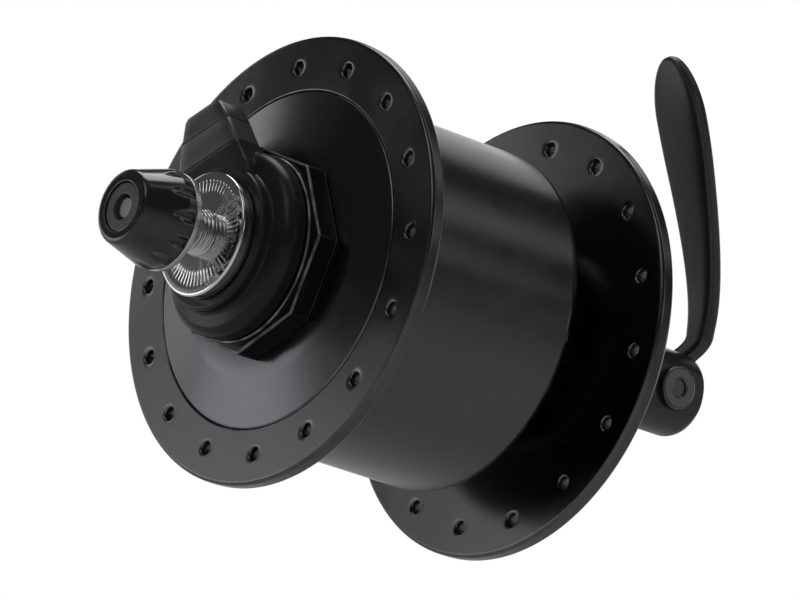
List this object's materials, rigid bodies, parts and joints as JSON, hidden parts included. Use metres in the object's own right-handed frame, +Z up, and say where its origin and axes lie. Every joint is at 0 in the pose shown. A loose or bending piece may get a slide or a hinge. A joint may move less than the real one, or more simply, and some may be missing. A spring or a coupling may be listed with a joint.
{
  "type": "bicycle generator hub",
  "caption": "Front bicycle hub with a built-in generator drum, two spoke flanges, a plug-in lamp connector and a quick-release skewer.",
  "frame": {"origin": "on the hub axis, midway between the outer faces of the left locknut and the right end nut, which is the centre plane of the wheel", "axes": "+Y along the hub axis towards the quick-release lever (the bicycle's left), +X forward, +Z up"},
  "size_m": [0.09, 0.1524, 0.1121],
  "materials": {
    "shell_metal": "satin charcoal anodised forging",
    "ring_metal": "semi-gloss black",
    "steel": "turned bright steel",
    "polished_steel": "polished",
    "yoke_iron": "stamped soft iron, oiled",
    "ferrite": "matt sintered ferrite",
    "brass": "stamped",
    "copper": "enamelled winding",
    "spool_plastic": "moulded nylon",
    "black_plastic": "moulded, semi-matt",
    "grey_plastic": "moulded, satin",
    "lead_sleeve": "soft sleeve",
    "rubber": "matt",
    "black_gloss": "gloss black"
  },
  "bodies": {
    "axle_assembly": {"axle": "steel", "left_cone": "steel", "right_cone": "steel", "left_spacer": "steel", "left_locknut": "steel", "left_rubber_seal": "rubber", "right_end_nut": "polished_steel", "terminal_ring": "black_plastic", "terminal_contacts": "brass", "lead_wire": "lead_sleeve", "stator_core": "yoke_iron", "left_claw_yoke": "yoke_iron", "right_claw_yoke": "yoke_iron", "coil_bobbin": "spool_plastic", "coil_winding": "copper", "left_stator_nut": "steel", "right_stator_nut": "steel"},
    "turning_shell": {"hub_shell": "shell_metal", "cover_plate": "shell_metal", "octagon_lock_ring": "ring_metal", "back_iron_ring": "steel", "magnet_segments": "ferrite", "left_bearing_cup": "steel", "right_bearing_cup": "steel", "left_dust_cap": "ring_metal", "right_grease_seal": "rubber"},
    "left_ball_row": {"left_balls": "polished_steel", "left_ball_retainer": "brass"},
    "right_ball_row": {"right_balls": "polished_steel", "right_ball_retainer": "brass"},
    "connector": {"connector_plug": "grey_plastic", "connector_cap": "grey_plastic"},
    "skewer_head": {"cam_housing": "black_gloss", "cam_face_washer": "steel", "left_spring": "steel"},
    "lever_and_cam": {"quick_release_lever": "black_gloss", "camshaft": "steel", "camshaft_nut": "black_gloss"},
    "skewer": {"skewer_rod": "steel"},
    "nut_set": {"adjusting_nut": "black_gloss", "nut_face_washer": "steel", "nut_insert": "spool_plastic", "right_spring": "steel"}
  },
  "joints": [
    {"name": "hub_turn", "type": "hinge", "parent": "axle_assembly", "child": "turning_shell", "pos_m": [0, 0, 0], "axis": [0, 1, 0], "continuous": true},
    {"name": "left_ball_row_turn", "type": "hinge", "parent": "axle_assembly", "child": "left_ball_row", "pos_m": [0, 0.0365, 0], "axis": [0, 1, 0], "continuous": true},
    {"name": "right_ball_row_turn", "type": "hinge", "parent": "axle_assembly", "child": "right_ball_row", "pos_m": [0, -0.0354, 0], "axis": [0, 1, 0], "continuous": true},
    {"name": "plug_pull", "type": "slide", "parent": "axle_assembly", "child": "connector", "axis": [-0.4226, 0, 0.9063], "range_m": [0, 0.012]},
    {"name": "skewer_turn", "type": "hinge", "parent": "axle_assembly", "child": "skewer_head", "pos_m": [0, 0.07, 0], "axis": [0, 1, 0], "continuous": true},
    {"name": "lever_swing", "type": "hinge", "parent": "skewer_head", "child": "lever_and_cam", "pos_m": [0, 0.07, 0], "axis": [-1, 0, 0], "range_deg": [0, 160]},
    {"name": "skewer_pull", "type": "slide", "parent": "skewer_head", "child": "skewer", "axis": [0, -1, 0], "range_m": [0, 0.0015]},
    {"name": "nut_turn", "type": "hinge", "parent": "skewer", "child": "nut_set", "pos_m": [0, -0.065, 0], "axis": [0, 1, 0], "continuous": true}
  ],
  "couplings": [
    {"joint": "left_ball_row_turn", "follows": "hub_turn", "ratio": 0.5825},
    {"joint": "right_ball_row_turn", "follows": "hub_turn", "ratio": 0.5825},
    {"joint": "skewer_pull", "follows": "lever_swing", "m_per_rad": 0.0005093}
  ]
}
